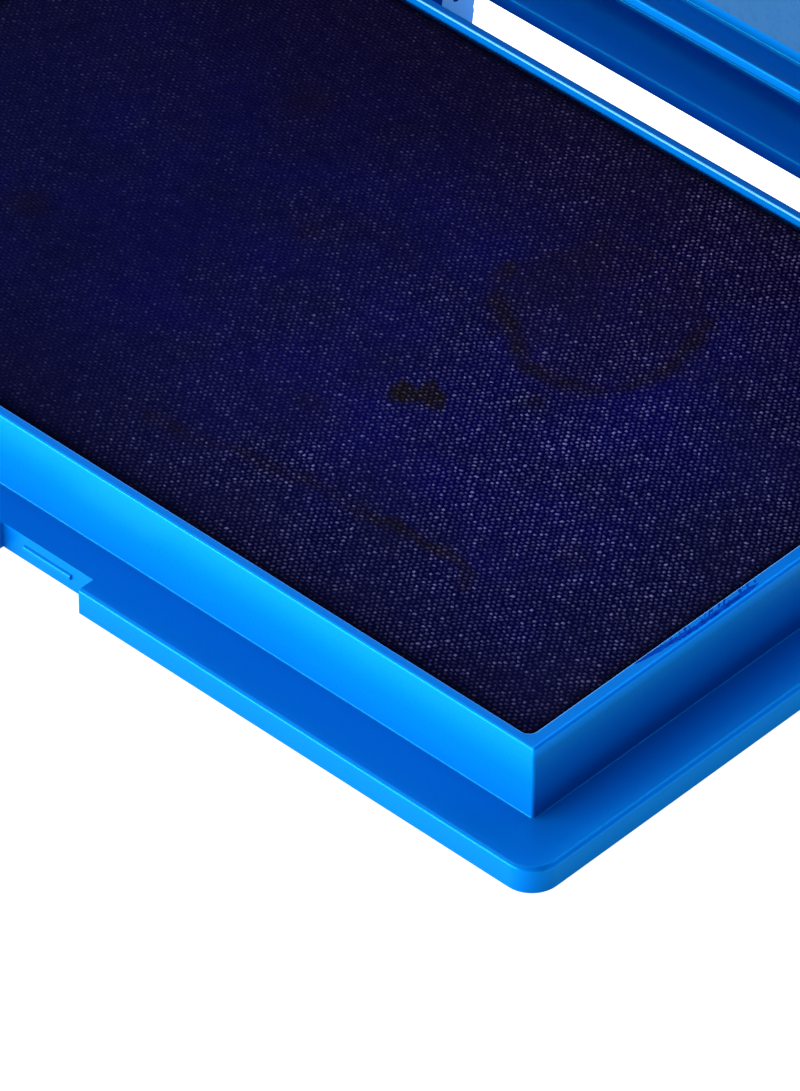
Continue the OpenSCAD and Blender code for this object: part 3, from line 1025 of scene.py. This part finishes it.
cad_looks = {
    "backing_board": pressed_board(),
    "fixing_tape_left": foam_tape(),
    "hinge_pin_left": drawn_steel(),
    "lid_liner": sealing_film(),
    "lid_label": coated_label("lid_label_paper", (label_high.x - label_low.x) / 2,
                              (label_high.y - label_low.y) / 2, lid_label_middle, open_angle),
    "base_label": coated_label("base_label_paper", (base_label_high.x - base_label_low.x) / 2,
                               (base_label_high.y - base_label_low.y) / 2, base_label_middle, 0.0),
}
cad_looks["fixing_tape_right"] = cad_looks["fixing_tape_left"]
cad_looks["hinge_pin_right"] = cad_looks["hinge_pin_left"]
for node_name, look in cad_looks.items():
    dress(frame["nodes"][node_name], look)
for node_name in ("hinge_pin_left", "hinge_pin_right", "lid_liner"):
    soften = frame["nodes"][node_name].modifiers.new("soften", "BEVEL")
    soften.width = 0.1 * MM
    soften.segments = 2
    soften.limit_method = "ANGLE"


# ---------------------------------------------------------------- floor, light and camera

TABLE_HALF = 3.0
TABLE_DROP = 0.02 * MM
TABLE_DARK = (0.30, 0.30, 0.30)
TABLE_LIGHT = (0.31, 0.31, 0.31)
FLOOR_GLOW = 2.75
FLOOR_FAR_RIGHT = 0.08
BOUNCE_TINT = (0.04, 0.80, 1.0)
WHITE = (1.0, 1.0, 1.0)
SKY = (0.08, 0.12, 0.22)

# Name, place, aim, size, power in watts and colour of each soft light
SOFTBOXES = (
    ("front_box", (-0.47, -0.88, 0.18), (0, 0, 0.02), (1.2, 0.33), 26.0, (0.5, 0.97, 0.91)),
    ("top_box", (-0.35, -0.10, 0.95), (0, 0, 0), (0.6, 0.6), 2.4, WHITE),
    ("back_box", (-0.575, 0.605, 0.716), (0, 0, 0), (0.8, 0.8), 4.0, (0.12, 0.55, 1.0)),
    ("ridge_box", (0.02, 0.55, 0.82), (0.02, 0, 0), (0.84, 0.25), 4.5, (0.05, 0.6, 1.0)),
)

CAMERA_AZIMUTH = 43.50
CAMERA_ELEVATION = 40.62
CAMERA_DISTANCE = 0.8616
CAMERA_LENS = 324.1
CAMERA_RIGHT_SHIFT = 11.65 * MM
CAMERA_UP_SHIFT = -24.01 * MM


def floor():
    """A pale table. It looks white to the camera, and lights the part unevenly."""
    n = Nodes("pale_table")
    tone = n.mix(n.span(n.noise(60 * MM, 2), 0.3, 0.7), TABLE_DARK, TABLE_LIGHT)
    x, y, _ = n.split()
    clear = n.math("MAXIMUM", n.math("SUBTRACT", n.away(x), flange_x),
                   n.math("SUBTRACT", n.away(y), flange_y))
    seen = n.tree.nodes.new("ShaderNodeLightPath").outputs["Is Camera Ray"]
    far_right = n.span(x, flange_x + 7 * MM, flange_x + 14 * MM, 1.0, FLOOR_FAR_RIGHT)
    glow = n.math("MULTIPLY", n.span(clear, 1 * MM, 9 * MM, 0.9, FLOOR_GLOW), far_right)
    glow = n.math("MAXIMUM", seen, glow)
    tint = n.mix(n.math("MAXIMUM", seen, n.span(y, 0.0, 60 * MM)), BOUNCE_TINT, WHITE)
    n.finish(Base_Color=tone, Roughness=0.7, Specular_IOR_Level=0.0, Emission_Color=tint,
             Emission_Strength=glow)
    mesh = bpy.data.meshes.new("table")
    corners = [(-TABLE_HALF, -TABLE_HALF, 0), (TABLE_HALF, -TABLE_HALF, 0),
               (TABLE_HALF, TABLE_HALF, 0), (-TABLE_HALF, TABLE_HALF, 0)]
    mesh.from_pydata(corners, [], [(0, 1, 2, 3)])
    table = bpy.data.objects.new("table", mesh)
    table.location.z = -TABLE_DROP
    bpy.context.scene.collection.objects.link(table)
    dress(table, n.material)


def backdrop():
    """White to the eye, and a dim bluish sky as a light."""
    world = bpy.data.worlds.new("studio")
    world.use_nodes = True
    tree = world.node_tree
    blend = tree.nodes.new("ShaderNodeMix")
    blend.data_type = "RGBA"
    blend.inputs[6].default_value = (*SKY, 1)
    blend.inputs[7].default_value = (1, 1, 1, 1)
    seen = tree.nodes.new("ShaderNodeLightPath").outputs["Is Camera Ray"]
    tree.links.new(seen, blend.inputs[0])
    tree.links.new(blend.outputs[2], tree.nodes["Background"].inputs["Color"])
    bpy.context.scene.world = world


def softbox(name, place, aim, size, power, colour):
    """A rectangular soft light at place, turned to aim."""
    data = bpy.data.lights.new(name, "AREA")
    data.shape = "RECTANGLE"
    data.size, data.size_y = size
    data.energy = power
    data.color = colour
    light = bpy.data.objects.new(name, data)
    light.location = place
    light.rotation_euler = (Vector(aim) - Vector(place)).to_track_quat("-Z", "Y").to_euler()
    bpy.context.scene.collection.objects.link(light)


def camera():
    """A long lens on the front right corner of the wall.

    The aim is that corner, moved so that the frame's middle falls up and to the left of it.
    """
    azimuth, elevation = math.radians(CAMERA_AZIMUTH), math.radians(CAMERA_ELEVATION)
    back = Vector((math.sin(azimuth) * math.cos(elevation), -math.cos(azimuth) * math.cos(elevation),
                   math.sin(elevation)))
    right = Vector((math.cos(azimuth), math.sin(azimuth), 0))
    up = back.cross(right)
    corner = Vector((wall_x, -wall_y, flange_z))
    aim = corner - right * CAMERA_RIGHT_SHIFT - up * CAMERA_UP_SHIFT
    data = bpy.data.cameras.new("camera")
    data.sensor_width = 36.0
    data.lens = CAMERA_LENS
    data.clip_end = 50
    data.clip_start = 0.01
    view = bpy.data.objects.new("camera", data)
    view.location = aim + back * CAMERA_DISTANCE
    view.rotation_euler = back.to_track_quat("Z", "Y").to_euler()
    bpy.context.scene.collection.objects.link(view)
    bpy.context.scene.camera = view


floor()
for softbox_values in SOFTBOXES:
    softbox(*softbox_values)
backdrop()
bpy.context.scene.view_settings.view_transform = "Standard"
camera()
